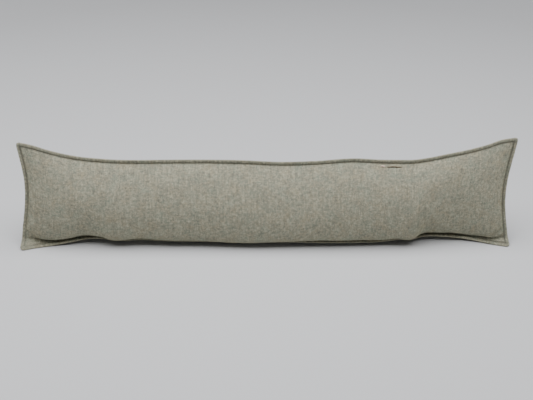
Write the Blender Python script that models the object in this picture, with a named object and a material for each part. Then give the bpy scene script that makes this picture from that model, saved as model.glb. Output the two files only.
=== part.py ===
# Draught excluder in wool tweed, standing on its long lower edge.
# Two equal cloth panels are sewn together 6.5 mm inside their edges and filled.
# The cloth outside the stitching stays as a narrow flat flange all round.
# X runs along the length, Y points to the back and Z is up.
# The origin is on the floor under the middle of the cushion.

import math

import bpy
import numpy as np

MM = 0.001

# Sizes in millimetres.
FLANGE_WIDTH = 6.5
FLANGE_THICKNESS = 2.4
FLANGE_RIM_THICKNESS = 1.9
SEAM_THICKNESS = 1.8
END_LENGTH = 135.0
DRAW_IN_REACH = 60.0
BACK_SIT = 54.0
LIP_LENGTH = 50.0
RISING_REACH = 15.0
EAR_SLOPE_REACH = 20.0
SOFT_TURN = 2.5
MIDDLE_SPACING = 12.0
SMALLEST_SPACING = 2.5

# Grey-green wool, as linear colour.
WOOL_COLOUR = (0.33, 0.32, 0.265, 1.0)
WOOL_ROUGHNESS = 0.95

# Shares and counts.
END_SHARPNESS = 0.8
LIP_SHARPNESS = 0.5
SPACING_GROWTH = 1.35
GROWING_STEPS = 8
PANEL_ROWS = 27
EAR_ROWS = 2
FLANGE_SHARES = (1.0, 0.5)
CURVE_STEPS = 120
SEAM_CROWDING = 0.08
FOLD_MARGIN_ROWS = 3
PANEL_DROOP = 0.6
DEEPEST_FOLD = 0.35

# How far the flange turns each corner in an arc, where 1 is an arc as wide as
# the flange.
UPPER_ROUNDING = 0.55
LOWER_ROUNDING = 1.0

# How far each side edge is drawn in between its corners, how that is spread from
# top to bottom, and how much shorter the lower edge is than the upper one.
ENDS = {
    "left": {"draw_in": 11.5, "power": 1.8, "skew": 0.8, "shorter": -1.5},
    "right": {"draw_in": 13.4, "power": 1.35, "skew": 1.0, "shorter": 7.0},
}

# One row for each place along the length, left to right as seen from the front.
# top and low are the stitched lines, lean is the angle of the top flange back
# from upright and drop that of the lower flange below level, in degrees.
# front and back say how far each panel swells under the top seam, belly and
# heel how far it swells above the floor, and press how hard the belly sits down.
# room is the gap between the belly and the lower flange, rise how much the
# belly's underside has turned up RISING_REACH in front of the lower seam, and
# ear is the flat empty cloth above that seam.
COLUMNS = (
    "x", "top_y", "top_z", "low_y", "low_z", "lean", "drop",
    "front", "back", "belly", "heel", "press", "room", "rise", "ear",
)
PLACES = (
    (-437, 13.0, 181.3, -41.0, 4.6, 18, 32, 52, 44, 36, 40, 0, 0.9, 0, 17),
    (-415, 13.0, 175.8, -33.0, 4.6, 18, 30, 54, 44, 36, 42, 4, 2.0, 0.5, 12),
    (-391, 12.7, 167.4, -27.0, 4.8, 16, 26, 58, 46, 38, 44, 4, 2.6, 2, 9),
    (-360, 12.7, 158.7, -22.5, 8.3, 13, 20, 62, 45, 39, 52, 0, 3.3, 8, 5),
    (-325, 12.7, 152.2, -15.0, 11.2, 10, 16, 64, 47, 38, 56, 0, 2.1, 10, 3),
    (-302, 12.7, 150.0, -13.0, 10.5, 8, 14, 64, 47, 43, 58, 4, 2.0, 5, 2),
    (-276, 12.7, 147.9, -18.3, 9.5, 6, 14, 64, 47, 49, 58, 8, 0.9, 3.5, 2),
    (-229, 12.7, 146.9, -16.3, 10.0, 6, 14, 64, 47, 46, 58, 7, 1.2, 5, 2),
    (-177, 12.7, 147.5, -18.8, 8.7, 6, 14, 64, 47, 45, 58, 10, 1.0, 4, 2),
    (-110, 12.7, 147.7, -19.8, 8.3, 6, 14, 64, 47, 45, 58, 11, 0.9, 4, 2),
    (-45, 12.7, 146.6, -22.3, 7.5, 6, 14, 64, 47, 48, 58, 14, 0.6, 2.2, 2),
    (26, 12.7, 143.2, -22.8, 9.0, 6, 14, 64, 47, 46, 58, 12, 0.7, 3.5, 2),
    (85, 12.7, 145.0, -25.3, 9.7, 6, 14, 64, 47, 41, 58, 3, 0.9, 6.0, 2),
    (158, 13.0, 150.0, -24.8, 9.4, 6, 14, 64, 47, 38, 58, 2, 0.9, 5.5, 2),
    (203, 13.0, 147.5, -22.0, 9.3, 6, 14, 64, 47, 38, 58, 3, 0.9, 4.5, 2),
    (235, 13.2, 147.0, -16.3, 10.0, 6, 14, 63, 47, 45, 58, 11, 1.2, 5, 2),
    (264, 13.7, 147.0, -14.5, 9.8, 6, 12, 63, 47, 47.0, 58, 13, 1.2, 3.2, 2),
    (284, 14.8, 149.4, -7.2, 10.9, 8, 12, 61, 47, 41.5, 56, 0, 2.2, 12, 2),
    (324, 18.0, 156.5, -6.2, 10.7, 10, 14, 58, 45, 33, 54, 0, 3.3, 16, 2),
    (359, 22.0, 162.4, -8.0, 8.8, 13, 22, 54, 43, 27, 52, 0, 3.6, 12, 3),
    (393, 25.0, 170.8, -14.8, 5.7, 16, 28, 52, 45, 27, 42, 2, 2.4, 3, 6.2),
    (419, 27.5, 179.6, -22.5, 4.7, 18, 30, 50, 44, 34, 40, 2, 1.6, 0.5, 8.5),
    (441, 29.0, 182.7, -28.5, 4.6, 18, 32, 50, 44, 36, 40, 0, 0.9, 0, 12.5),
)

# Shallow folds pressed into the front panel: the two ends as x and z, how deep
# and how wide.
FOLDS = (
    (-432, 27, -416, 18, 2.4, 9.0),
    (408, 18, 425, 28, 3.0, 9.0),
    (-390, 44, -340, 24, 1.2, 24.0),
    (270, 14, 290, 46, 0.7, 20.0),
    (-120, 122, -96, 84, 0.8, 24.0),
    (118, 126, 96, 92, 0.8, 26.0),
    (330, 120, 300, 88, 1.0, 30.0),
    (-330, 118, -298, 90, 1.0, 30.0),
)


def clear_scene():
    for item in list(bpy.data.objects):
        bpy.data.objects.remove(item, do_unlink=True)


def smooth_column(name, x):
    # A curve through the rows of PLACES, with slopes taken from the neighbours.
    rows = np.array(PLACES, float)
    knots = rows[:, 0]
    values = rows[:, COLUMNS.index(name)]
    slopes = np.gradient(values, knots)
    i = int(np.clip(np.searchsorted(knots, x) - 1, 0, len(knots) - 2))
    span = knots[i + 1] - knots[i]
    t = (x - knots[i]) / span
    a = (1 + 2 * t) * (1 - t) ** 2 * values[i]
    b = t * (1 - t) ** 2 * span * slopes[i]
    c = t * t * (3 - 2 * t) * values[i + 1]
    d = t * t * (t - 1) * span * slopes[i + 1]
    return a + b + c + d


def from_the_ends(x):
    return min(x - PLACES[0][0], PLACES[-1][0] - x)


def station_places():
    # Close together at both ends, where the cushion swells quickly.
    left = PLACES[0][0]
    right = PLACES[-1][0]
    steps = SMALLEST_SPACING * SPACING_GROWTH ** np.arange(GROWING_STEPS)
    near = np.concatenate([[0.0], np.cumsum(np.minimum(steps, MIDDLE_SPACING))])
    count = math.ceil((right - left - 2 * near[-1]) / MIDDLE_SPACING)
    middle = np.linspace(left + near[-1], right - near[-1], count + 1)
    return np.concatenate([left + near[:-1], middle, right - near[-2::-1]])


def fullness(x, length, sharpness):
    # 0 at the side seams and 1 once the filling is at its full thickness.
    reach = min(from_the_ends(x) / length, 1.0)
    return math.sin(0.5 * math.pi * reach ** sharpness)


def bezier(a, b, c, d, count):
    t = np.linspace(0.0, 1.0, count)[:, None]
    return a * (1 - t) ** 3 + 3 * b * t * (1 - t) ** 2 + 3 * c * t * t * (1 - t) + d * t ** 3


def spaced_out(points, count):
    # Closer together at both seams, where the cloth turns quickly.
    steps = np.linalg.norm(np.diff(points, axis=0), axis=1)
    lengths = np.concatenate([[0.0], np.cumsum(steps)])
    share = np.linspace(0.0, 1.0, count)
    share -= SEAM_CROWDING * np.sin(2 * math.pi * share)
    at = share * lengths[-1]
    return np.column_stack([np.interp(at, lengths, points[:, k]) for k in range(2)])


def panel_curve(start, end, start_pull, end_pull, full, low_full):
    # The panel hangs straight between its seams where full and low_full are 0.
    third = (end - start) / 3
    first = start + third * (1 - full) + start_pull * full
    last = end - third * (1 - low_full) + end_pull * low_full
    return bezier(start, first, last, end, CURVE_STEPS)


def lift_belly(curve, drop, room, rise):
    # The belly stays clear of the lower flange and the ears, and its underside
    # turns up towards the front.
    end = curve[-1]
    ahead = np.maximum(end[0] - curve[:-1, 0], 0.0)
    level = end[1] + room - math.tan(drop) * np.minimum(ahead, EAR_SLOPE_REACH)
    level += rise * (ahead / RISING_REACH) ** 2
    apart = curve[:-1, 1] - level
    curve[:-1, 1] = level + 0.5 * (apart + np.sqrt(apart ** 2 + SOFT_TURN ** 2))


def face_outline(x, side):
    # One face of the cushion at x, as (y, z) points from the top edge to the
    # lower edge. side is 1 for the front and -1 for the back.
    now = {name: smooth_column(name, x) for name in COLUMNS[1:]}
    full = fullness(x, END_LENGTH, END_SHARPNESS)
    lean = math.radians(now["lean"])
    drop = math.radians(now["drop"])
    up = np.array([math.sin(lean), math.cos(lean)])
    out = np.array([-math.cos(drop), -math.sin(drop)])
    top_side = np.array([-up[1], up[0]]) * side
    low_side = np.array([out[1], -out[0]]) * side
    top = np.array([now["top_y"], now["top_z"]])
    low = np.array([now["low_y"], now["low_z"]])
    ear = low - out * now["ear"]
    rim = 0.5 * FLANGE_RIM_THICKNESS
    flat = 0.5 * FLANGE_THICKNESS
    thin = 0.5 * SEAM_THICKNESS
    if side > 0:
        top_pull = np.array([-now["front"], -PANEL_DROOP * now["front"]])
        low_pull = np.array([-now["belly"], -now["press"]])
        low_full = fullness(x, LIP_LENGTH, LIP_SHARPNESS)
    else:
        top_pull = np.array([now["back"], -PANEL_DROOP * now["back"]])
        low_pull = np.array([now["heel"], -BACK_SIT])
        low_full = full
    start = top + top_side * thin
    end = ear + low_side * thin
    curve = panel_curve(start, end, top_pull, low_pull, full, low_full)
    if side > 0:
        lift_belly(curve, drop, now["room"], now["rise"])
    curve[:, 1] = np.maximum(curve[:, 1], 0.0)
    panel = spaced_out(curve, PANEL_ROWS)
    flange = list(zip(FLANGE_SHARES, (rim, flat)))
    above = [top + up * FLANGE_WIDTH * share + top_side * half for share, half in flange]
    below = [ear + (low - ear) * k / EAR_ROWS + low_side * thin for k in range(1, EAR_ROWS + 1)]
    below += [low + out * FLANGE_WIDTH * share + low_side * half for share, half in flange[::-1]]
    return np.array(above + list(panel) + below)


def draw_in(x, share):
    # How far the side edge at x is pulled towards the middle.
    end = ENDS["left" if x < 0 else "right"]
    inward = 1 if x < 0 else -1
    fade = math.exp(-max(from_the_ends(x), 0.0) / DRAW_IN_REACH)
    hollow = end["draw_in"] * np.sin(math.pi * share ** end["skew"]) ** end["power"]
    return fade * (hollow + end["shorter"] * share) * inward


def face_grid(side):
    # The points of one face, a column of them for each place along the length.
    left = PLACES[0][0]
    right = PLACES[-1][0]
    columns = [(left, -FLANGE_WIDTH * share) for share in FLANGE_SHARES]
    columns += [(x, 0.0) for x in station_places()]
    columns += [(right, FLANGE_WIDTH * share) for share in FLANGE_SHARES[::-1]]
    grid = []
    for x, beyond in columns:
        outline = face_outline(x, side)
        steps = np.linalg.norm(np.diff(outline, axis=0), axis=1)
        along = np.concatenate([[0.0], np.cumsum(steps)])
        across = x + beyond + draw_in(x, along / along[-1])
        grid.append(np.column_stack([across, outline]))
    return np.array(grid)


def fold_depths(points):
    depths = np.zeros(len(points))
    for x1, z1, x2, z2, depth, width in FOLDS:
        start = np.array([x1, z1], float)
        run = np.array([x2 - x1, z2 - z1], float)
        offset = points[:, [0, 2]] - start
        along = np.clip(offset @ run / (run @ run), 0.0, 1.0)
        away = np.linalg.norm(offset - along[:, None] * run, axis=1)
        depths += depth * np.exp(-(2 * away / width) ** 2)
    return depths


def press_folds(front, back):
    # No fold goes deeper than a share of the filling behind it.
    first = len(FLANGE_SHARES) + FOLD_MARGIN_ROWS
    sunk = slice(first, first + PANEL_ROWS - 2 * FOLD_MARGIN_ROWS)
    for near, far in zip(front, back):
        room = DEEPEST_FOLD * np.linalg.norm(near - far, axis=1)
        near[sunk, 1] += np.minimum(fold_depths(near), room)[sunk]


def round_corners(grid):
    # The flange turns each corner in an arc round the stitched corner.
    rows = len(FLANGE_SHARES)
    for side in (1, -1):
        for end, rounding in ((1, UPPER_ROUNDING), (-1, LOWER_ROUNDING)):
            corner = grid[::side, ::end]
            stitched = corner[rows, rows].copy()
            for i, beside in enumerate(FLANGE_SHARES):
                for j, beyond in enumerate(FLANGE_SHARES):
                    arc = max(beside, beyond) / math.hypot(beside, beyond)
                    corner[i, j] = stitched + (corner[i, j] - stitched) * (1 + rounding * (arc - 1))


def grid_faces(first, columns, rows):
    faces = []
    for i in range(columns - 1):
        for j in range(rows - 1):
            a = first + i * rows + j
            faces.append((a, a + rows, a + rows + 1, a + 1))
    return faces


def edge_loop(columns, rows):
    loop = [i * rows for i in range(columns)]
    loop += [(columns - 1) * rows + j for j in range(1, rows)]
    loop += [i * rows + rows - 1 for i in range(columns - 2, -1, -1)]
    loop += [j for j in range(rows - 2, 0, -1)]
    return loop


def cushion_mesh():
    front = face_grid(1)
    back = face_grid(-1)
    press_folds(front, back)
    round_corners(front)
    round_corners(back)
    columns, rows = front.shape[:2]
    points = np.concatenate([front.reshape(-1, 3), back.reshape(-1, 3)])
    middle = 0.5 * (points.max(axis=0) + points.min(axis=0))
    points -= np.array([middle[0], middle[1], points[:, 2].min()])
    behind = columns * rows
    faces = [face[::-1] for face in grid_faces(0, columns, rows)]
    faces += grid_faces(behind, columns, rows)
    loop = edge_loop(columns, rows)
    for a, b in zip(loop, loop[1:] + loop[:1]):
        faces.append((a, b, b + behind, a + behind))
    mesh = bpy.data.meshes.new("cushion")
    mesh.from_pydata((points * MM).tolist(), [], faces)
    mesh.update()
    return mesh


def wool_material():
    material = bpy.data.materials.new("wool_tweed")
    material.use_nodes = True
    shader = material.node_tree.nodes["Principled BSDF"]
    shader.inputs["Base Color"].default_value = WOOL_COLOUR
    shader.inputs["Roughness"].default_value = WOOL_ROUGHNESS
    shader.inputs["Metallic"].default_value = 0.0
    material.diffuse_color = WOOL_COLOUR
    return material


def build():
    clear_scene()
    mesh = cushion_mesh()
    mesh.materials.append(wool_material())
    cushion = bpy.data.objects.new("cushion", mesh)
    bpy.context.scene.collection.objects.link(cushion)
    for face in mesh.polygons:
        face.use_smooth = True


build()
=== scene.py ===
import math

import bpy
import numpy as np
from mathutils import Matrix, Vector


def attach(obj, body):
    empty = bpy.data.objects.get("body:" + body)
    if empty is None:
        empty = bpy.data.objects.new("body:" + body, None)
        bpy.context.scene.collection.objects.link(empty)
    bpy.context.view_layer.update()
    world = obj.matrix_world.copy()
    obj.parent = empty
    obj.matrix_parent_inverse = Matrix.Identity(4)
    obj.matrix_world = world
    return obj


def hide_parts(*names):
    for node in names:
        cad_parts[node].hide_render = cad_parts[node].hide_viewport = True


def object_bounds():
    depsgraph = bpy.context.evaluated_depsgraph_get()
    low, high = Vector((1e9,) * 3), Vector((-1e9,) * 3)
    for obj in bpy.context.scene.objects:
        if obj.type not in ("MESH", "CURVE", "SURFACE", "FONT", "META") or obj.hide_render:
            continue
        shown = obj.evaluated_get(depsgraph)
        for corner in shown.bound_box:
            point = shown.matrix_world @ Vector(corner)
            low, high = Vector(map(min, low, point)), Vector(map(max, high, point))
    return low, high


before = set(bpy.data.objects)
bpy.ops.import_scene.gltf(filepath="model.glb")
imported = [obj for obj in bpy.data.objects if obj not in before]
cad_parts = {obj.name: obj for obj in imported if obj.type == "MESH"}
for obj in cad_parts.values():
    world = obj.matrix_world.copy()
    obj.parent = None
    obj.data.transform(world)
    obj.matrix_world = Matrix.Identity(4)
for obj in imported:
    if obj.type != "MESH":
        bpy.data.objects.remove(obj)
cadLow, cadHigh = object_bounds()
mm = 0.001
print("frame loaded")


# helpers

def deselectAll():
    if bpy.context.mode != "OBJECT":
        bpy.ops.object.mode_set(mode="OBJECT")
    bpy.ops.object.select_all(action="DESELECT")


def makeActive(thing):
    deselectAll()
    thing.select_set(True)
    bpy.context.view_layer.objects.active = thing


def meshObject(name, points, faces):
    mesh = bpy.data.meshes.new(name)
    mesh.from_pydata([tuple(p) for p in points], [], faces)
    mesh.update()
    thing = bpy.data.objects.new(name, mesh)
    bpy.context.scene.collection.objects.link(thing)
    for face in mesh.polygons:
        face.use_smooth = True
    return thing


# cushion: the same panels as the solid, much finer, with the cloth's own thickness

cushionSizes = {                 # lengths in millimetres
    "flangeWidth": 6.5,
    "flangeThickness": 3.0,
    "rimThickness": 2.2,
    "seamThickness": 1.0,
    "upperRounding": 0.55,   # 1 is an arc as wide as the flange
    "lowerRounding": 1.0,
    "endLength": 135.0,
    "endSharpness": 0.8,
    "drawInReach": 60.0,
    "lipLength": 50.0,
    "lipSharpness": 0.5,
    "risingReach": 15.0,
    "earSlopeReach": 20.0,
    "softTurn": 2.5,
    "backSit": 54.0,
    "panelDroop": 0.6,
    "deepestFold": 0.35,
    "spacing": 5.4,
    "firstSpacing": 1.2,
    "spacingGrowth": 1.3,
    "endSpacing": 2.6,
    "endReach": 60.0,
    "seamCrowding": 0.09,
    "panelRows": 44,
    "earRows": 3,
    "flangeRows": (1.0, 0.78, 0.5, 0.22),
    "rimWaver": 0.35,
    "waverFrom": 430.0,      # how far out along x the side edges waver
    # painted shade along the seam groove: how far it reaches on the face and on the flange, and how much it
    # fades round the flat left ear
    "grooveOnFace": 1.7,
    "grooveOnFlange": 2.4,
    "flatEar": 0.6,
    "flatEarReach": 42.0,
    "backMapAt": 500.0,      # where the back's cloth lies on the map, beyond the front's
}

# how far each side edge is drawn in, how that is spread, and how much shorter the lower edge is
cushionEnds = {
    "left": {"drawIn": 11.5, "power": 1.8, "skew": 0.8, "shorter": -1.5},
    "right": {"drawIn": 13.4, "power": 1.35, "skew": 1.0, "shorter": 7.0},
}

placeColumns = ("x", "topY", "topZ", "lowY", "lowZ", "lean", "drop",
                "front", "back", "belly", "heel", "press", "room", "rise", "ear")
cushionPlaces = (
    (-437, 13.0, 181.3, -41.0, 4.6, 18, 32, 52, 44, 36, 40, 0, 0.9, 0, 17),
    (-415, 13.0, 175.8, -33.0, 4.6, 18, 30, 54, 44, 36, 42, 4, 2.0, 0.5, 12),
    (-391, 12.7, 167.4, -27.0, 4.8, 16, 26, 58, 46, 38, 44, 4, 2.6, 2, 9),
    (-360, 12.7, 158.7, -22.5, 8.3, 13, 20, 62, 45, 39, 52, 0, 3.3, 8, 5),
    (-325, 12.7, 152.2, -15.0, 11.2, 10, 16, 64, 47, 38, 56, 0, 2.1, 10, 3),
    (-302, 12.7, 150.0, -13.0, 10.5, 8, 14, 64, 47, 43, 58, 4, 2.0, 5, 2),
    (-276, 12.7, 147.9, -18.3, 9.5, 6, 14, 64, 47, 49, 58, 8, 0.9, 3.5, 2),
    (-229, 12.7, 146.9, -16.3, 10.0, 6, 14, 64, 47, 46, 58, 7, 1.2, 5, 2),
    (-177, 12.7, 147.5, -18.8, 8.7, 6, 14, 64, 47, 45, 58, 10, 1.0, 4, 2),
    (-110, 12.7, 147.7, -19.8, 8.3, 6, 14, 64, 47, 45, 58, 11, 0.9, 4, 2),
    (-45, 12.7, 146.6, -22.3, 7.5, 6, 14, 64, 47, 48, 58, 14, 0.6, 2.2, 2),
    (26, 12.7, 143.2, -22.8, 9.0, 6, 14, 64, 47, 46, 58, 12, 0.7, 3.5, 2),
    (85, 12.7, 145.0, -25.3, 9.7, 6, 14, 64, 47, 41, 58, 3, 0.9, 6.0, 2),
    (158, 13.0, 150.0, -24.8, 9.4, 6, 14, 64, 47, 38, 58, 2, 0.9, 5.5, 2),
    (203, 13.0, 147.5, -22.0, 9.3, 6, 14, 64, 47, 38, 58, 3, 0.9, 4.5, 2),
    (235, 13.2, 147.0, -16.3, 10.0, 6, 14, 63, 47, 45, 58, 11, 1.2, 5, 2),
    (264, 13.7, 147.0, -14.5, 9.8, 6, 12, 63, 47, 47.0, 58, 13, 1.2, 3.2, 2),
    (284, 14.8, 149.4, -7.2, 10.9, 8, 12, 61, 47, 41.5, 56, 0, 2.2, 12, 2),
    (324, 18.0, 156.5, -6.2, 10.7, 10, 14, 58, 45, 33, 54, 0, 3.3, 16, 2),
    (359, 22.0, 162.4, -8.0, 8.8, 13, 22, 54, 43, 27, 52, 0, 3.6, 12, 3),
    (393, 25.0, 170.8, -14.8, 5.7, 16, 28, 52, 45, 27, 42, 2, 2.4, 3, 6.2),
    (419, 27.5, 179.6, -22.5, 4.7, 18, 30, 50, 44, 34, 40, 2, 1.6, 0.5, 8.5),
    (441, 29.0, 182.7, -28.5, 4.6, 18, 32, 50, 44, 36, 40, 0, 0.9, 0, 12.5),
)
leftSeamX, rightSeamX = cushionPlaces[0][0], cushionPlaces[-1][0]

# pressed folds on the front: two ends as x and z, depth, width
cushionFolds = (
    (-432, 27, -416, 18, 3.0, 8.0),
    (408, 18, 425, 28, 4.0, 7.0),
    (-390, 44, -340, 20, 1.4, 22.0),
    (266, 8, 290, 46, 0.7, 20.0),
    (-120, 122, -96, 84, 0.8, 24.0),
    (118, 126, 96, 92, 0.8, 26.0),
    (330, 120, 300, 88, 1.0, 30.0),
    (-330, 118, -298, 90, 1.0, 30.0),
)


def smoothColumn(name, x):
    rows = np.array(cushionPlaces, float)
    knots = rows[:, 0]
    values = rows[:, placeColumns.index(name)]
    slopes = np.gradient(values, knots)
    i = int(np.clip(np.searchsorted(knots, x) - 1, 0, len(knots) - 2))
    span = knots[i + 1] - knots[i]
    t = (x - knots[i]) / span
    rise = (1 + 2 * t) * (1 - t) ** 2 * values[i] + t * t * (3 - 2 * t) * values[i + 1]
    return rise + span * (t * (1 - t) ** 2 * slopes[i] + t * t * (t - 1) * slopes[i + 1])


def fromTheEnds(x):
    return min(x - leftSeamX, rightSeamX - x)


def fullness(x, length="endLength", sharpness="endSharpness"):
    reach = min(fromTheEnds(x) / cushionSizes[length], 1.0)
    return math.sin(0.5 * math.pi * reach ** cushionSizes[sharpness])


def stationPlaces():
    # close together near both ends, where the cushion swells quickly
    size = cushionSizes
    near = [0.0]
    while near[-1] < size["endReach"]:
        grown = size["firstSpacing"] * size["spacingGrowth"] ** (len(near) - 1)
        near.append(near[-1] + min(grown, size["endSpacing"]))
    near = np.array(near)
    count = math.ceil((rightSeamX - leftSeamX - 2 * near[-1]) / size["spacing"])
    middle = np.linspace(leftSeamX + near[-1], rightSeamX - near[-1], count + 1)
    return np.concatenate([leftSeamX + near[:-1], middle, rightSeamX - near[-2::-1]])


def bezierCurve(a, b, c, d, count):
    t = np.linspace(0.0, 1.0, count)[:, None]
    return a * (1 - t) ** 3 + 3 * b * t * (1 - t) ** 2 + 3 * c * t * t * (1 - t) + d * t ** 3


def spacedOut(points, count):
    # closer together at both seams, where the cloth turns quickly
    lengths = np.concatenate([[0.0], np.cumsum(np.linalg.norm(np.diff(points, axis=0), axis=1))])
    share = np.linspace(0.0, 1.0, count)
    share = share - cushionSizes["seamCrowding"] * np.sin(2 * np.pi * share)
    return np.column_stack([np.interp(share * lengths[-1], lengths, points[:, k]) for k in range(2)])


def panelOutline(x, side):
    # one face of the cushion at x, from the top edge to the lower edge; side is 1 for the front
    size = cushionSizes
    now = {name: smoothColumn(name, x) for name in placeColumns[1:]}
    full = fullness(x)
    lean, drop = math.radians(now["lean"]), math.radians(now["drop"])
    up = np.array([math.sin(lean), math.cos(lean)])
    out = np.array([-math.cos(drop), -math.sin(drop)])
    topSide = np.array([-up[1], up[0]]) * side
    lowSide = np.array([out[1], -out[0]]) * side
    top = np.array([now["topY"], now["topZ"]])
    low = np.array([now["lowY"], now["lowZ"]])
    ear = low - out * now["ear"]
    flat, rim, thin = 0.5 * size["flangeThickness"], 0.5 * size["rimThickness"], 0.5 * size["seamThickness"]
    if side > 0:
        topPull = np.array([-now["front"], -size["panelDroop"] * now["front"]])
        lowPull = np.array([-now["belly"], -now["press"]])
        lowFull = fullness(x, "lipLength", "lipSharpness")
    else:
        topPull = np.array([now["back"], -size["panelDroop"] * now["back"]])
        lowPull = np.array([now["heel"], -size["backSit"]])
        lowFull = full
    start, end = top + topSide * thin, ear + lowSide * thin
    third = (end - start) / 3
    first = start + third * (1 - full) + topPull * full
    last = end - third * (1 - lowFull) + lowPull * lowFull
    curve = bezierCurve(start, first, last, end, 4 * size["panelRows"])
    if side > 0:
        ahead = np.maximum(end[0] - curve[:-1, 0], 0.0)
        under = end[1] + now["room"] - math.tan(drop) * np.minimum(ahead, size["earSlopeReach"])
        under += now["rise"] * (ahead / size["risingReach"]) ** 2
        apart = curve[:-1, 1] - under
        curve[:-1, 1] = under + 0.5 * (apart + np.sqrt(apart ** 2 + size["softTurn"] ** 2))
    else:
        curve[:, 1] = np.maximum(curve[:, 1], 0.0)
    panel = spacedOut(curve, size["panelRows"])
    thickness = [rim] + [flat] * (len(size["flangeRows"]) - 1)
    above = [top + up * size["flangeWidth"] * share + topSide * half
             for share, half in zip(size["flangeRows"], thickness)]
    below = [ear + (low - ear) * k / size["earRows"] + lowSide * thin for k in range(1, size["earRows"] + 1)]
    below += [low + out * size["flangeWidth"] * share + lowSide * half
              for share, half in zip(size["flangeRows"][::-1], thickness[::-1])]
    outline = np.array(above + list(panel) + below)
    outline[:, 1] = np.maximum(outline[:, 1], 0.0)
    return outline


def drawnIn(x, share):
    end = cushionEnds["left" if x < 0 else "right"]
    fade = math.exp(-max(fromTheEnds(x), 0.0) / cushionSizes["drawInReach"])
    hollow = end["drawIn"] * np.sin(math.pi * share ** end["skew"]) ** end["power"]
    return fade * (hollow + end["shorter"] * share) * (1 if x < 0 else -1)


def panelGrid(side):
    # the points of one panel, and how far along the cloth each one is
    size = cushionSizes
    width, shares = size["flangeWidth"], size["flangeRows"]
    columns = [(leftSeamX, -width * share) for share in shares]
    columns += [(x, 0.0) for x in stationPlaces()]
    columns += [(rightSeamX, width * share) for share in shares[::-1]]
    grid, cloth = [], []
    for x, beyond in columns:
        outline = panelOutline(x, side)
        along = np.concatenate([[0.0], np.cumsum(np.linalg.norm(np.diff(outline, axis=0), axis=1))])
        grid.append(np.column_stack([x + beyond + drawnIn(x, along / along[-1]), outline]))
        cloth.append(np.column_stack([np.full(len(along), x + beyond), along[-1] * 0.5 - along]))
    return np.array(grid), np.array(cloth)


def pressFolds(front, back):
    rows = len(cushionSizes["flangeRows"])
    sunk = slice(rows + 1, front.shape[1] - rows - cushionSizes["earRows"] - 1)
    for near, far in zip(front, back):
        depths = np.zeros(len(near))
        for x1, z1, x2, z2, depth, width in cushionFolds:
            run = np.array([x2 - x1, z2 - z1], float)
            offset = near[:, [0, 2]] - np.array([x1, z1], float)
            along = np.clip(offset @ run / (run @ run), 0.0, 1.0)
            away = np.linalg.norm(offset - along[:, None] * run, axis=1)
            depths += depth * np.exp(-(2 * away / width) ** 2)
        room = cushionSizes["deepestFold"] * np.linalg.norm(near - far, axis=1)
        near[sunk, 1] += np.minimum(depths, room)[sunk]


def roundCorners(grid):
    # the flange turns each corner in an arc round the stitched corner
    shares = cushionSizes["flangeRows"]
    rows = len(shares)
    for column in (0, -1):
        for row, rounding in ((0, cushionSizes["upperRounding"]), (-1, cushionSizes["lowerRounding"])):
            seamCorner = grid[rows if column == 0 else -1 - rows, rows if row == 0 else -1 - rows].copy()
            for i, beside in enumerate(shares):
                for j, beyond in enumerate(shares):
                    arc = max(beside, beyond) / math.hypot(beside, beyond)
                    spot = (i if column == 0 else -1 - i, j if row == 0 else -1 - j)
                    grid[spot] = seamCorner + (grid[spot] - seamCorner) * (1 + rounding * (arc - 1))


def edgeLoop(columns, rows):
    loop = [i * rows for i in range(columns)]
    loop += [(columns - 1) * rows + j for j in range(1, rows)]
    loop += [i * rows + rows - 1 for i in range(columns - 2, -1, -1)]
    return loop + [j for j in range(rows - 2, 0, -1)]


clothTrial = {
    "quality": 4,
    "mass": 0.2,
    "bending": 1.5,
    "pressure": 4.0,
    "extraCloth": 0.03,      # how much wider and taller the panels are than their seams
    "frames": 20,
    "mostMove": 6.0,         # millimetres
    "wrinkleGain": 0.32,
    "smoothingPasses": 20,
    "softDents": 0.5,        # millimetres
    "wideDents": (22, 5),    # how many lie along the cloth and down it
    "closeDents": (60, 10),
    "fade": 12.0,            # millimetres beside the seams in which wrinkles and dents fade out
}


def settled(points, faces, held):
    # the filled cloth pushes out while the flange is held, which puckers it along the seams
    trial = meshObject("clothTrial", points * mm, faces)
    group = trial.vertex_groups.new(name="held")
    group.add([int(i) for i in np.flatnonzero(held)], 1.0, "REPLACE")
    makeActive(trial)
    cloth = trial.modifiers.new("cloth", "CLOTH")
    cloth.settings.quality = clothTrial["quality"]
    cloth.settings.mass = clothTrial["mass"]
    cloth.settings.vertex_group_mass = "held"
    cloth.settings.use_pressure = True
    cloth.settings.uniform_pressure_force = clothTrial["pressure"]
    cloth.settings.shrink_min = -clothTrial["extraCloth"]
    cloth.settings.effector_weights.gravity = 0
    cloth.settings.bending_stiffness = clothTrial["bending"]
    cloth.collision_settings.use_collision = False
    scene = bpy.context.scene
    for number in range(1, clothTrial["frames"] + 1):
        scene.frame_set(number)
    bpy.ops.object.modifier_apply(modifier=cloth.name)
    moved = np.array([v.co for v in trial.data.vertices]) / mm
    bpy.data.objects.remove(trial, do_unlink=True)
    scene.frame_set(1)
    return moved


def blurred(field, passes):
    for _ in range(passes):
        wide = np.pad(field, ((1, 1), (0, 0), (0, 0)), mode="edge")
        field = (wide[:-2] + 2 * field + wide[2:]) / 4
        tall = np.pad(field, ((0, 0), (1, 1), (0, 0)), mode="edge")
        field = (tall[:, :-2] + 2 * field + tall[:, 2:]) / 4
    return field


def gridNormals(grid):
    along = np.gradient(grid, axis=0)
    down = np.gradient(grid, axis=1)
    normal = np.cross(down, along)
    return normal / (np.linalg.norm(normal, axis=2, keepdims=True) + 1e-9)


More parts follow.
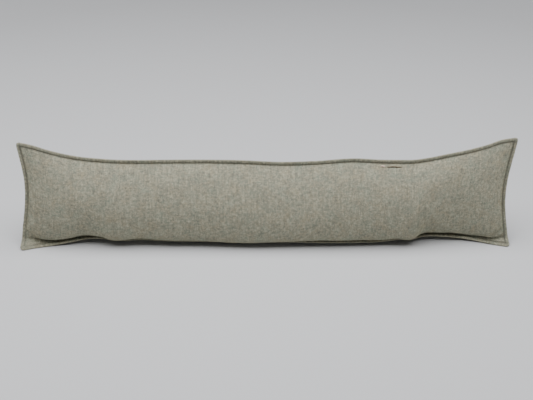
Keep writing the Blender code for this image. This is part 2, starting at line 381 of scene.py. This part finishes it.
def softNoise(shape, cells, seed):
    # smooth random hills over the cloth, between -1 and 1
    local = np.random.default_rng(seed)
    coarse = local.uniform(-1, 1, (cells[0] + 3, cells[1] + 3))
    a = np.linspace(0, cells[0], shape[0])
    b = np.linspace(0, cells[1], shape[1])
    i, j = np.minimum(a.astype(int), cells[0] - 1), np.minimum(b.astype(int), cells[1] - 1)
    s, t = (a - i)[:, None], (b - j)[None, :]
    s, t = s * s * (3 - 2 * s), t * t * (3 - 2 * t)
    near = coarse[i][:, j] * (1 - s) + coarse[i + 1][:, j] * s
    far = coarse[i][:, j + 1] * (1 - s) + coarse[i + 1][:, j + 1] * s
    return near * (1 - t) + far * t


def seamDistance(cloth):
    # how far each point of the flat cloth is from the stitched rectangle
    rows = len(cushionSizes["flangeRows"])
    top = cloth[:, rows, 1][:, None]
    low = cloth[:, -rows - 1, 1][:, None]
    u, v = cloth[:, :, 0], cloth[:, :, 1]
    beside = np.maximum(np.maximum(leftSeamX - u, u - rightSeamX), 0.0)
    beyond = np.maximum(np.maximum(v - top, low - v), 0.0)
    inside = np.minimum(np.minimum(u - leftSeamX, rightSeamX - u), np.minimum(top - v, v - low))
    return np.where(inside > 0, inside, np.hypot(beside, beyond)), inside


def cushionFaces(columns, rows):
    # front, back and the two strips of the rim, each with the panel it takes its cloth from
    behind = columns * rows
    faces, panels = [], []
    for i in range(columns - 1):
        for j in range(rows - 1):
            a = i * rows + j
            quad = (a, a + rows, a + rows + 1, a + 1)
            faces.append(quad[::-1])
            panels.append(0)
            faces.append(tuple(k + behind for k in quad))
            panels.append(1)
    loop = edgeLoop(columns, rows)
    middle = 2 * behind
    for k, (a, b) in enumerate(zip(loop, loop[1:] + loop[:1])):
        c, d = middle + k, middle + (k + 1) % len(loop)
        faces.append((a, b, d, c))
        panels.append(0)
        faces.append((c, d, b + behind, a + behind))
        panels.append(1)
    return faces, panels, loop


def keepValues(mesh, name, onPanels, onRim):
    values = np.concatenate([onPanels, onPanels, onRim]).astype(np.float32)
    mesh.attributes.new(name, "FLOAT", "POINT").data.foreach_set("value", values)


def clothMoves(front, back, inside, faces, loop):
    count = inside.size
    held = (inside <= 0.5).reshape(-1)
    heldAll = np.concatenate([held, held, np.ones(len(loop), bool)])
    flat = np.concatenate([front.reshape(-1, 3), back.reshape(-1, 3)])
    rimMiddle = 0.5 * (flat[loop] + flat[np.array(loop) + count])
    points = np.concatenate([flat, rimMiddle])
    moved = settled(points, faces, heldAll) - points
    size = np.linalg.norm(moved, axis=1, keepdims=True)
    moved *= np.minimum(1.0, clothTrial["mostMove"] / np.maximum(size, 1e-6))
    print("cloth moved by up to", round(float(size.max()), 2), "mm")
    return moved[:2 * count].reshape((2,) + front.shape)


def wrinkled(grid, shift, inside, number):
    # the panel with the fine wrinkles of the simulation and soft dents; number is 0 for the front
    wrinkles = shift - blurred(shift, clothTrial["smoothingPasses"])
    fade = np.clip(inside / clothTrial["fade"], 0.0, 1.0)[:, :, None]
    hills = softNoise(inside.shape, clothTrial["wideDents"], 7 + number)
    hills += 0.5 * softNoise(inside.shape, clothTrial["closeDents"], 17 + number)
    normal = gridNormals(grid) * (1 if number == 0 else -1)
    grid = grid + clothTrial["wrinkleGain"] * wrinkles * fade
    return grid + clothTrial["softDents"] * hills[:, :, None] * normal * fade


def rimPoints(flatFront, flatBack, loop):
    # the middle of the rim, which wavers a little along both side edges
    step = np.arange(len(loop))
    waver = cushionSizes["rimWaver"] * np.sin(step * 1.7 + 2 * np.sin(step * 0.37))
    middle = 0.5 * (flatFront[loop] + flatBack[loop])
    middle[:, 0] += waver * np.sign(middle[:, 0]) * (np.abs(middle[:, 0]) > cushionSizes["waverFrom"])
    return middle


def mapCloth(mesh, cloth, clothBack, panels, loop):
    # the weave follows the flat cloth that each panel was cut from
    count = cloth.shape[0] * cloth.shape[1]
    backMap = np.array([0.0, cushionSizes["backMapAt"]])
    flatCloth = [cloth.reshape(-1, 2) * mm, (clothBack.reshape(-1, 2) + backMap) * mm]
    rimCloth = [flatCloth[0][loop], flatCloth[1][loop]]
    coords = np.empty((len(mesh.loops), 2), np.float32)
    for polygon in mesh.polygons:
        panel = panels[polygon.index]
        for corner in polygon.loop_indices:
            vertex = mesh.loops[corner].vertex_index
            if vertex >= 2 * count:
                coords[corner] = rimCloth[panel][vertex - 2 * count]
            else:
                coords[corner] = flatCloth[panel][vertex % count]
    mesh.uv_layers.new(name="clothMap").data.foreach_set("uv", coords.reshape(-1))


def markSeams(mesh, cloth, distance, inside, loop):
    size = cushionSizes
    reach = np.where(inside > 0, size["grooveOnFace"], size["grooveOnFlange"])
    # painted shade along the seam groove; the left ear is pressed flat, so this painted shade hardly shows
    # round its corner
    low = cloth[:, -len(size["flangeRows"]) - 1, 1][:, None]
    fromEar = np.hypot(cloth[:, :, 0] - leftSeamX, cloth[:, :, 1] - low)
    flattened = 1 - size["flatEar"] * np.exp(-(fromEar / size["flatEarReach"]) ** 2)
    shade = (np.exp(-(distance / reach) ** 2) * flattened).reshape(-1)
    flange = np.clip(-inside / size["flangeWidth"], 0.0, 1.0).reshape(-1)
    beside = ((cloth[:, :, 0] < leftSeamX - 0.5) | (cloth[:, :, 0] > rightSeamX + 0.5)).reshape(-1)
    along = np.where(beside, cloth[:, :, 1].reshape(-1), cloth[:, :, 0].reshape(-1)) * mm
    keepValues(mesh, "seamShade", shade, np.zeros(len(loop)))
    keepValues(mesh, "flangeShare", flange, np.ones(len(loop)))
    keepValues(mesh, "alongEdge", along, along[loop])


def makeCushion():
    front, cloth = panelGrid(1)
    back, clothBack = panelGrid(-1)
    pressFolds(front, back)
    roundCorners(front)
    roundCorners(back)
    faces, panels, loop = cushionFaces(*front.shape[:2])
    distance, inside = seamDistance(cloth)
    shifts = clothMoves(front, back, inside, faces, loop)
    front = wrinkled(front, shifts[0], inside, 0)
    back = wrinkled(back, shifts[1], inside, 1)
    flatFront, flatBack = front.reshape(-1, 3), back.reshape(-1, 3)
    points = np.concatenate([flatFront, flatBack, rimPoints(flatFront, flatBack, loop)])
    points[:, 2] = np.maximum(points[:, 2], 0.0)
    cushion = meshObject("cushionCover", points * mm, faces)
    mapCloth(cushion.data, cloth, clothBack, panels, loop)
    markSeams(cushion.data, cloth, distance, inside, loop)
    makeActive(cushion)
    finer = cushion.modifiers.new("finer", "SUBSURF")
    finer.levels = finer.render_levels = 1
    bpy.ops.object.modifier_apply(modifier=finer.name)
    return cushion, front, back


# the solid is centred over the origin, and so is its cover
cushion, frontGrid, backGrid = makeCushion()
placed = np.array([v.co for v in cushion.data.vertices])
lowest, highest = placed.min(axis=0), placed.max(axis=0)
shift = np.array([(cadLow[k] + cadHigh[k] - lowest[k] - highest[k]) / 2 for k in range(2)] + [-lowest[2]])
for vertex in cushion.data.vertices:
    vertex.co = vertex.co + Vector(shift)
cushion.data.update()
frontGrid = frontGrid * mm + shift
backGrid = backGrid * mm + shift
print("cushion made:", len(cushion.data.polygons), "faces, moved by", shift)


# stitching along the seam, front and back

stitchSizes = {
    "pitch": 3.4,            # millimetres
    "length": 2.5,
    "radius": 0.3,
    "rise": 0.35,
    "colour": (0.075, 0.072, 0.055),
}
stitchArch = (-0.9, 0.35, 0.7, 0.35, -0.9)       # shares of the rise and of the radius along a stitch
stitchSwell = (0.55, 0.95, 1.0, 0.95, 0.55)


def seamPath(grid):
    rows = len(cushionSizes["flangeRows"])
    normals = gridNormals(grid)
    path, facing = [], []
    backwards = slice(-rows - 1, rows - 1, -1)
    for picked in (np.s_[rows:-rows, rows], np.s_[-rows - 1, rows:-rows],
                   (backwards, -rows - 1), (rows, backwards)):
        path.append(grid[picked][:-1])
        facing.append(normals[picked][:-1])
    return np.concatenate(path), np.concatenate(facing)


def sweepThread(points, faces, line, out, radii, sides=6):
    # a closed thread along line, with one radius for each of its points
    along = (line[-1] - line[0]) / np.linalg.norm(line[-1] - line[0])
    across = np.cross(out, along)
    first = len(points)
    for spot, radius in zip(line, radii):
        for turn in range(sides):
            angle = 2 * math.pi * turn / sides
            points.append(spot + radius * (across * math.cos(angle) + out * math.sin(angle)))
    for k in range(len(line) - 1):
        for turn in range(sides):
            a, b = first + sides * k + turn, first + sides * k + (turn + 1) % sides
            faces.append((a, b, b + sides, a + sides))
    last = first + sides * (len(line) - 1)
    faces.append(tuple(first + turn for turn in range(sides - 1, -1, -1)))
    faces.append(tuple(last + turn for turn in range(sides)))


def makeStitches():
    points, faces = [], []
    size = {key: value * mm for key, value in stitchSizes.items() if key != "colour"}
    arch = np.array(stitchArch) * size["rise"]
    radii = np.array(stitchSwell) * size["radius"]
    for grid, sign in ((frontGrid, 1), (backGrid, -1)):
        path, facing = seamPath(grid)
        closed = np.concatenate([path, path[:1]])
        facing = np.concatenate([facing, facing[:1]]) * sign
        lengths = np.concatenate([[0.0], np.cumsum(np.linalg.norm(np.diff(closed, axis=0), axis=1))])
        for start in np.arange(0.0, lengths[-1] - size["pitch"], size["pitch"]):
            at = start + np.linspace(0.0, size["length"], len(arch))
            line = np.column_stack([np.interp(at, lengths, closed[:, k]) for k in range(3)])
            out = np.array([np.interp(at[len(at) // 2], lengths, facing[:, k]) for k in range(3)])
            out /= np.linalg.norm(out)
            if np.linalg.norm(line[-1] - line[0]) > 0.7 * size["length"]:
                sweepThread(points, faces, line + arch[:, None] * out, out, radii)
    return meshObject("seamStitches", points, faces)


stitches = makeStitches()
print("stitches made:", len(stitches.data.polygons), "faces")


# a slub of brown yarn that has worked loose under the top seam, with a pale knot beside it

looseYarn = {                # lengths in millimetres
    "slub": {"from": 213.0, "to": 239.5, "below": 7.6, "sink": 1.0, "radius": 0.95,
             "colour": (0.105, 0.062, 0.038)},
    "knot": {"from": 201.5, "to": 209.5, "below": 6.4, "sink": 2.4, "radius": 1.5,
             "colour": (0.85, 0.66, 0.55)},
}


def onFront(x, below):
    # the point of the front cloth at x, this far below the top seam, and which way it faces there
    rows = len(cushionSizes["flangeRows"])
    seam = frontGrid[:, rows, 0]
    i = int(np.clip(np.searchsorted(seam, x) - 1, 0, len(seam) - 2))
    t = (x - seam[i]) / (seam[i + 1] - seam[i])
    line = (frontGrid[i] * (1 - t) + frontGrid[i + 1] * t)[rows:]
    normals = gridNormals(frontGrid)[i, rows:]
    lengths = np.concatenate([[0.0], np.cumsum(np.linalg.norm(np.diff(line, axis=0), axis=1))])
    spot = np.array([np.interp(below, lengths, line[:, k]) for k in range(3)])
    return spot, normals[int(np.searchsorted(lengths, below))]


def makeLooseYarn(name):
    size = looseYarn[name]
    points, faces = [], []
    share = np.linspace(0.0, 1.0, 13)
    radii = size["radius"] * mm * np.sin(math.pi * (0.08 + 0.84 * share)) ** 0.5
    radii *= 1 + 0.15 * np.sin(share * 23.0)
    below = size["below"] + size["sink"] * (share - 0.3) ** 2 + 0.25 * np.sin(share * 11.0)
    line, facing = [], []
    for k in range(len(share)):
        x = size["from"] + (size["to"] - size["from"]) * share[k]
        spot, out = onFront(x * mm, below[k] * mm)
        line.append(spot + out * radii[k] * 0.75)
        facing.append(out)
    sweepThread(points, faces, np.array(line), np.mean(facing, axis=0), radii, 8)
    return meshObject("looseYarn" + name.capitalize(), points, faces)


loose = {name: makeLooseYarn(name) for name in looseYarn}
print("loose yarn made")


# loose fibres of the wool, standing out along the raw edge of the flange

edgeFuzz = {
    "fibres": 3600,
    "shortest": 0.5,         # millimetres
    "longest": 1.5,
    "radius": 0.11,
    "spread": 0.75,
    "rooted": 0.2,
}


def makeEdgeFuzz():
    picker = np.random.default_rng(5)
    columns, rows = frontGrid.shape[:2]
    loop = np.array(edgeLoop(columns, rows))
    i, j = loop // rows, loop % rows
    nearer = (np.clip(i, 1, columns - 2), np.clip(j, 1, rows - 2))
    middle = 0.5 * (frontGrid + backGrid)
    outward = middle[i, j] - middle[nearer]
    outward /= np.linalg.norm(outward, axis=1, keepdims=True)
    gaps = np.linalg.norm(np.roll(middle[i, j], -1, axis=0) - middle[i, j], axis=1)
    lengths = np.concatenate([[0.0], np.cumsum(gaps)])
    points, faces = [], []
    for at in np.sort(picker.uniform(0.0, lengths[-1], edgeFuzz["fibres"])):
        k = int(np.searchsorted(lengths, at) - 1)
        t = (at - lengths[k]) / gaps[k]
        n = (k + 1) % len(loop)
        through = picker.uniform(0.1, 0.9)
        here = frontGrid[i[k], j[k]] * through + backGrid[i[k], j[k]] * (1 - through)
        there = frontGrid[i[n], j[n]] * through + backGrid[i[n], j[n]] * (1 - through)
        way = outward[k] + edgeFuzz["spread"] * picker.uniform(-1, 1, 3)
        way /= np.linalg.norm(way)
        root = here * (1 - t) + there * t - edgeFuzz["rooted"] * mm * outward[k]
        side = np.cross(way, (0.3, 0.2, 0.9))
        side /= np.linalg.norm(side)
        across = np.cross(way, side)
        first = len(points)
        for turn in range(3):
            angle = 2 * math.pi * turn / 3
            ring = side * math.cos(angle) + across * math.sin(angle)
            points.append(root + ring * edgeFuzz["radius"] * mm)
        points.append(root + way * picker.uniform(edgeFuzz["shortest"], edgeFuzz["longest"]) * mm)
        faces.append((first + 2, first + 1, first))
        faces += [(first + turn, first + (turn + 1) % 3, first + 3) for turn in range(3)]
    points = np.array(points)
    points[:, 2] = np.maximum(points[:, 2], 0.0)
    return meshObject("edgeFuzz", points, faces)


fuzz = makeEdgeFuzz()
print("edge fibres made:", len(fuzz.data.polygons), "faces")


# shader groups shared by the materials

def newGroup(name, inputs, outputs):
    group = bpy.data.node_groups.new(name, "ShaderNodeTree")
    for label, kind, value in inputs:
        socket = group.interface.new_socket(name=label, in_out="INPUT", socket_type="NodeSocket" + kind)
        if value is not None:
            socket.default_value = value
    for label, kind in outputs:
        group.interface.new_socket(name=label, in_out="OUTPUT", socket_type="NodeSocket" + kind)
    return group, group.nodes.new("NodeGroupInput"), group.nodes.new("NodeGroupOutput")


def wire(tree, target, value):
    if isinstance(value, bpy.types.NodeSocket):
        tree.links.new(value, target)
    elif value is not None:
        target.default_value = value


def maths(tree, operation, a, b=None, c=None):
    node = tree.nodes.new("ShaderNodeMath")
    node.operation = operation
    for socket, value in zip(node.inputs, (a, b, c)):
        wire(tree, socket, value)
    return node.outputs[0]


def summed(tree, parts, start=0.0):
    total = start
    for value, share in parts:
        total = maths(tree, "MULTIPLY_ADD", value, share, total)
    return total


def mixed(tree, factor, a, b):
    node = tree.nodes.new("ShaderNodeMix")
    node.data_type = "RGBA"
    wire(tree, node.inputs[0], factor)
    wire(tree, node.inputs[6], a)
    wire(tree, node.inputs[7], b)
    return node.outputs[2]


def scaled(tree, vector, x, y, z=1.0, shift=(0.0, 0.0, 0.0)):
    node = tree.nodes.new("ShaderNodeMapping")
    wire(tree, node.inputs["Vector"], vector)
    node.inputs["Scale"].default_value = (x, y, z)
    node.inputs["Location"].default_value = shift
    return node.outputs[0]


def noise(tree, vector, scale, detail=2.0, roughness=0.5, colour=False):
    node = tree.nodes.new("ShaderNodeTexNoise")
    wire(tree, node.inputs["Vector"], vector)
    node.inputs["Scale"].default_value = scale
    node.inputs["Detail"].default_value = detail
    node.inputs["Roughness"].default_value = roughness
    return node.outputs["Color" if colour else "Fac"]


def stretched(tree, value, low, high):
    node = tree.nodes.new("ShaderNodeMapRange")
    node.clamp = True
    wire(tree, node.inputs["Value"], value)
    node.inputs["From Min"].default_value = low
    node.inputs["From Max"].default_value = high
    return node.outputs[0]


def rgba(colour):
    return (*colour, 1.0)


woolLook = {
    "main": (0.311, 0.301, 0.226),
    "dark": (0.135, 0.137, 0.115),
    "cream": (0.55, 0.52, 0.385),
    "warm": (0.340, 0.303, 0.208),
    "cool": (0.268, 0.296, 0.228),
    "brown": (0.245, 0.185, 0.13),
    "yarn": 1.25,            # millimetres from yarn to yarn
    # painted shade in the seam groove: how strong it is, and how dark, as a share of the dark wool
    "grooveShade": 0.74,
    "grooveShadeTone": 0.45,    # share of the dark wool
    "creamRim": 0.22,
    "sheen": 0.2,
    "sheenTint": (0.93, 0.87, 0.5),
    "ripple": 7.0,           # millimetres from pucker to pucker along the flange
    "rippleShade": 0.28,
}


def twillGroup():
    # 2 by 2 twill: its height, and 1 where a warp yarn is on top, from cloth coordinates given in yarns
    group, given, result = newGroup("twillWeave", [("Cloth", "Vector", None)],
                                    [("Height", "Float"), ("Warp", "Float")])
    split = group.nodes.new("ShaderNodeSeparateXYZ")
    group.links.new(given.outputs["Cloth"], split.inputs[0])
    u, v = split.outputs[0], split.outputs[1]
    warpYarn = maths(group, "FLOOR", u)
    weftYarn = maths(group, "FLOOR", v)
    step = maths(group, "FLOORED_MODULO", maths(group, "ADD", warpYarn, weftYarn), 4.0)
    warpUp = maths(group, "LESS_THAN", step, 1.5)
    acrossWarp = maths(group, "SUBTRACT", maths(group, "FRACT", u), 0.5)
    acrossWeft = maths(group, "SUBTRACT", maths(group, "FRACT", v), 0.5)

    def crown(across):
        return maths(group, "MULTIPLY_ADD", maths(group, "MULTIPLY", across, across), -3.6, 1.0)

    diagonal = maths(group, "FRACT", maths(group, "DIVIDE", maths(group, "ADD", u, v), 2.0))
    along = maths(group, "MULTIPLY", maths(group, "SUBTRACT", diagonal, 0.5), 2.0)
    dip = maths(group, "MULTIPLY", maths(group, "MULTIPLY", along, along), 0.25)
    warpHeight = crown(acrossWarp)
    weftHeight = crown(acrossWeft)
    height = maths(group, "ADD", maths(group, "MULTIPLY", warpHeight, warpUp),
                   maths(group, "MULTIPLY", weftHeight, maths(group, "SUBTRACT", 1.0, warpUp)))
    group.links.new(maths(group, "SUBTRACT", height, dip), result.inputs["Height"])
    group.links.new(warpUp, result.inputs["Warp"])
    return group


def melangeGroup():
    # mixed fibres: every yarn varies along its length, with cream, cool, brown and dark flecks
    colours = [(name.capitalize(), "Color", rgba(woolLook[name]))
               for name in ("main", "dark", "cream", "warm", "cool", "brown")]
    group, given, result = newGroup("woolMelange", [("Cloth", "Vector", None)] + colours,
                                    [("Color", "Color"), ("Height", "Float")])
    cloth = given.outputs["Cloth"]
    perYarn = 1.0 / (woolLook["yarn"] * mm)
    weave = group.nodes.new("ShaderNodeGroup")
    weave.node_tree = twillWeave
    bent = group.nodes.new("ShaderNodeVectorMath")
    bent.operation = "MULTIPLY_ADD"
    wire(group, bent.inputs[0], noise(group, cloth, 90.0, 2.0, colour=True))
    bent.inputs[1].default_value = (0.0012, 0.0012, 0.0)
    wire(group, bent.inputs[2], cloth)
    wire(group, weave.inputs["Cloth"], scaled(group, bent.outputs[0], perYarn, perYarn))
    warpTone = noise(group, scaled(group, cloth, 1 / 0.0014, 1 / 0.012), 1.0, 3.0, 0.6)
    weftRuns = scaled(group, cloth, 1 / 0.009, 1 / 0.0014, shift=(31.0, 17.0, 0.0))
    weftTone = noise(group, weftRuns, 1.0, 3.0, 0.6)
    yarnTone = mixed(group, weave.outputs["Warp"], weftTone, warpTone)
    # faint streaks down the warp and across the weft, where thicker yarns lie side by side
    threads = scaled(group, cloth, 1 / 0.0036, 1 / 0.05, shift=(7.0, 3.0, 0.0))
    picks = scaled(group, cloth, 1 / 0.045, 1 / 0.0036, shift=(13.0, 29.0, 0.0))
    tone = summed(group, (
        (yarnTone, 0.54),
        (noise(group, cloth, 200.0, 3.0, 0.65), 0.45),
        (noise(group, threads, 1.0, 2.0, 0.5), 0.17),
        (noise(group, picks, 1.0, 2.0, 0.5), 0.07),
        (noise(group, cloth, 62.0, 2.0, 0.5), 0.11),
        (noise(group, cloth, 19.0, 2.0, 0.5), 0.08),
    ), -0.21)
    hue = summed(group, (
        (noise(group, cloth, 150.0, 3.0, 0.7), 0.55),
        (noise(group, cloth, 42.0, 2.0, 0.5), 0.55),
    ), -0.05)
    colour = mixed(group, stretched(group, hue, 0.5, 0.66), given.outputs["Main"], given.outputs["Warm"])
    colour = mixed(group, stretched(group, hue, 0.5, 0.34), colour, given.outputs["Cool"])
    colour = mixed(group, stretched(group, tone, 0.5, 0.33), colour, given.outputs["Dark"])
    colour = mixed(group, stretched(group, tone, 0.5, 0.68), colour, given.outputs["Cream"])
    for label, scale, low, high, strength, place in (
            ("Cool", 300.0, 0.56, 0.68, 0.5, (3.0, 8.0, 0.0)),
            ("Cream", 420.0, 0.60, 0.70, 0.7, (11.0, 2.0, 0.0)),
            ("Brown", 330.0, 0.62, 0.72, 0.4, (5.0, 14.0, 0.0)),
            ("Dark", 360.0, 0.60, 0.70, 0.5, (19.0, 6.0, 0.0))):
        fleck = noise(group, scaled(group, cloth, 1.0, 0.7, shift=place), scale, 2.0, 0.55)
        amount = maths(group, "MULTIPLY", stretched(group, fleck, low, high), strength)
        colour = mixed(group, amount, colour, given.outputs[label])
    # painted shade: the low places of the weave, between the yarns, are darkened toward the dark wool
    hollow = stretched(group, weave.outputs["Height"], 0.75, 0.1)
    colour = mixed(group, maths(group, "MULTIPLY", hollow, 0.35), colour, given.outputs["Dark"])
    height = summed(group, ((weave.outputs["Height"], 0.6), (noise(group, cloth, 2600.0, 2.0, 0.6), 0.5),
                            (noise(group, cloth, 230.0, 2.0, 0.6), 0.5)))
    wire(group, result.inputs["Color"], colour)
    wire(group, result.inputs["Height"], height)
    return group


twillWeave = twillGroup()
woolMelange = melangeGroup()


def principled(name, roughness):
    material = bpy.data.materials.new(name)
    material.use_nodes = True
    shader = material.node_tree.nodes["Principled BSDF"]
    shader.inputs["Roughness"].default_value = roughness
    shader.inputs["Specular IOR Level"].default_value = 0.2
    return material, material.node_tree, shader


def bumped(tree, shader, height, strength, distance):
    bump = tree.nodes.new("ShaderNodeBump")
    bump.inputs["Strength"].default_value = strength
    bump.inputs["Distance"].default_value = distance
    tree.links.new(height, bump.inputs["Height"])
    tree.links.new(bump.outputs[0], shader.inputs["Normal"])


def attribute(tree, name):
    node = tree.nodes.new("ShaderNodeAttribute")
    node.attribute_name = name
    return node.outputs["Fac"]


def woolMaterial():
    material, tree, shader = principled("woolTweed", 0.92)
    shader.inputs["Sheen Weight"].default_value = woolLook["sheen"]
    shader.inputs["Sheen Roughness"].default_value = 0.5
    shader.inputs["Sheen Tint"].default_value = rgba(woolLook["sheenTint"])
    place = tree.nodes.new("ShaderNodeUVMap")
    place.uv_map = "clothMap"
    wool = tree.nodes.new("ShaderNodeGroup")
    wool.node_tree = woolMelange
    wire(tree, wool.inputs["Cloth"], place.outputs[0])
    flange = attribute(tree, "flangeShare")
    # small puckers along the flange, one for every second stitch; their dips are bumped in and also darkened,
    # a painted shade
    drift = noise(tree, place.outputs[0], 60.0, 1.0)
    turns = maths(tree, "MULTIPLY_ADD", attribute(tree, "alongEdge"), 2 * math.pi / (woolLook["ripple"] * mm),
                  maths(tree, "MULTIPLY", drift, 9.0))
    pucker = maths(tree, "MULTIPLY_ADD", maths(tree, "SINE", turns), 0.5, 0.5)
    onFlange = stretched(tree, flange, 0.0, 0.3)
    dip = maths(tree, "MULTIPLY", maths(tree, "MULTIPLY", pucker, onFlange), woolLook["rippleShade"])
    # painted shade: the seam groove and the dips of the puckers are mixed toward a darkened dark wool
    groove = maths(tree, "MULTIPLY", attribute(tree, "seamShade"), woolLook["grooveShade"])
    shaded = rgba([channel * woolLook["grooveShadeTone"] for channel in woolLook["dark"]])
    colour = mixed(tree, maths(tree, "MAXIMUM", dip, groove), wool.outputs["Color"], shaded)
    # the outer part of the flange is mixed toward cream, lighter towards its raw edge
    creamOnRim = maths(tree, "MULTIPLY", stretched(tree, flange, 0.7, 1.0), woolLook["creamRim"])
    wire(tree, shader.inputs["Base Color"], mixed(tree, creamOnRim, colour, rgba(woolLook["cream"])))
    rough = maths(tree, "MULTIPLY_ADD", wool.outputs["Height"], 0.08, 0.86)
    wire(tree, shader.inputs["Roughness"], rough)
    height = maths(tree, "MULTIPLY_ADD", dip, -2.0, wool.outputs["Height"])
    bumped(tree, shader, height, 0.55, 0.0007)
    return material


def threadMaterial(name, colour):
    material, tree, shader = principled(name, 0.8)
    place = tree.nodes.new("ShaderNodeTexCoord")
    twist = tree.nodes.new("ShaderNodeTexWave")
    twist.wave_type = "BANDS"
    twist.bands_direction = "DIAGONAL"
    twist.inputs["Scale"].default_value = 900.0
    tree.links.new(place.outputs["Object"], twist.inputs["Vector"])
    darker = rgba([channel * 0.6 for channel in colour])
    wire(tree, shader.inputs["Base Color"], mixed(tree, twist.outputs["Fac"], darker, rgba(colour)))
    bumped(tree, shader, twist.outputs["Fac"], 0.4, 0.0002)
    return material


def fuzzMaterial():
    material, tree, shader = principled("woolFibres", 0.95)
    place = tree.nodes.new("ShaderNodeTexCoord")
    patchy = stretched(tree, noise(tree, place.outputs["Object"], 260.0, 2.0), 0.35, 0.65)
    colour = mixed(tree, patchy, rgba(woolLook["main"]), rgba(woolLook["cream"]))
    wire(tree, shader.inputs["Base Color"], colour)
    return material


cushion.data.materials.append(woolMaterial())
fuzz.data.materials.append(fuzzMaterial())
stitches.data.materials.append(threadMaterial("sewingThread", stitchSizes["colour"]))
for name, piece in loose.items():
    piece.data.materials.append(threadMaterial("looseYarn" + name.capitalize(), looseYarn[name]["colour"]))
print("materials made")


# studio: floor, light, camera

studio = {                   # metres and degrees
    "cameraTarget": (-0.0015, 0.0042, 0.0773),
    "cameraDistance": 2.0,
    "cameraElevation": 30.0,
    "widthSeen": 0.963,
    "floorReach": 6.0,
    "floorColour": (0.615, 0.622, 0.64),
    # painted light: the floor glows by emission, more with distance from the middle
    "farFloorGlow": (0.42, 0.424, 0.435),     # keeps the floor pale where the softbox doesn't reach
    "farFrom": 1.3,
    "farTo": 3.6,
    "worldColour": (0.75, 0.77, 0.8),
    "worldStrength": 0.07,
    "skyline": (0.46, 0.464, 0.475),       # what the camera sees past the floor's edge
}

softLights = {
    "overheadSoftbox": {"place": (-0.16, -0.1, 1.7), "aim": (-0.16, 0.0, 0.0),
                        "size": (3.5, 1.7), "power": 79.0},
    "frontFill": {"place": (-0.1, -2.4, 1.5), "aim": (0.0, 0.0, 0.05),
                  "size": (2.6, 1.0), "power": 2.5},
}


def makeFloor():
    reach = studio["floorReach"]
    corners = [(-reach, -reach, 0), (reach, -reach, 0), (reach, reach, 0), (-reach, reach, 0)]
    floor = meshObject("studioFloor", corners, [(0, 1, 2, 3)])
    material, tree, shader = principled("studioPaper", 0.9)
    shader.inputs["Base Color"].default_value = rgba(studio["floorColour"])
    place = tree.nodes.new("ShaderNodeTexCoord")
    # painted light: emission that grows with distance keeps the far floor pale
    away = tree.nodes.new("ShaderNodeVectorMath")
    away.operation = "LENGTH"
    wire(tree, away.inputs[0], place.outputs["Object"])
    far = stretched(tree, away.outputs["Value"], studio["farFrom"], studio["farTo"])
    glow = mixed(tree, far, (0.0, 0.0, 0.0, 1.0), rgba(studio["farFloorGlow"]))
    wire(tree, shader.inputs["Emission Color"], glow)
    shader.inputs["Emission Strength"].default_value = 1.0
    floor.data.materials.append(material)


def makeLight(name, place, aim, size, power):
    data = bpy.data.lights.new(name, "AREA")
    data.shape = "RECTANGLE"
    data.size, data.size_y = size
    data.energy = power
    light = bpy.data.objects.new(name, data)
    bpy.context.scene.collection.objects.link(light)
    light.location = place
    light.rotation_euler = (Vector(aim) - Vector(place)).to_track_quat("-Z", "Y").to_euler()


def makeWorld():
    world = bpy.data.worlds.new("studioWorld")
    world.use_nodes = True
    tree = world.node_tree
    dimmed = tuple(channel * studio["worldStrength"] for channel in studio["worldColour"])
    seen = tree.nodes.new("ShaderNodeLightPath").outputs["Is Camera Ray"]
    colour = mixed(tree, seen, rgba(dimmed), rgba(studio["skyline"]))
    wire(tree, tree.nodes["Background"].inputs["Color"], colour)
    bpy.context.scene.world = world


def makeCamera():
    data = bpy.data.cameras.new("photoCamera")
    data.sensor_width = 36.0
    data.lens = 36.0 * studio["cameraDistance"] / studio["widthSeen"]
    camera = bpy.data.objects.new("photoCamera", data)
    bpy.context.scene.collection.objects.link(camera)
    rise = math.radians(studio["cameraElevation"])
    target = Vector(studio["cameraTarget"])
    camera.location = target + studio["cameraDistance"] * Vector((0.0, -math.cos(rise), math.sin(rise)))
    camera.rotation_euler = (target - camera.location).to_track_quat("-Z", "Y").to_euler()
    bpy.context.scene.camera = camera


makeFloor()
for name, light in softLights.items():
    makeLight(name, **light)
makeWorld()
makeCamera()
print("studio made")

for piece in (cushion, stitches, fuzz, *loose.values()):
    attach(piece, "root")
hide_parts("cushion")
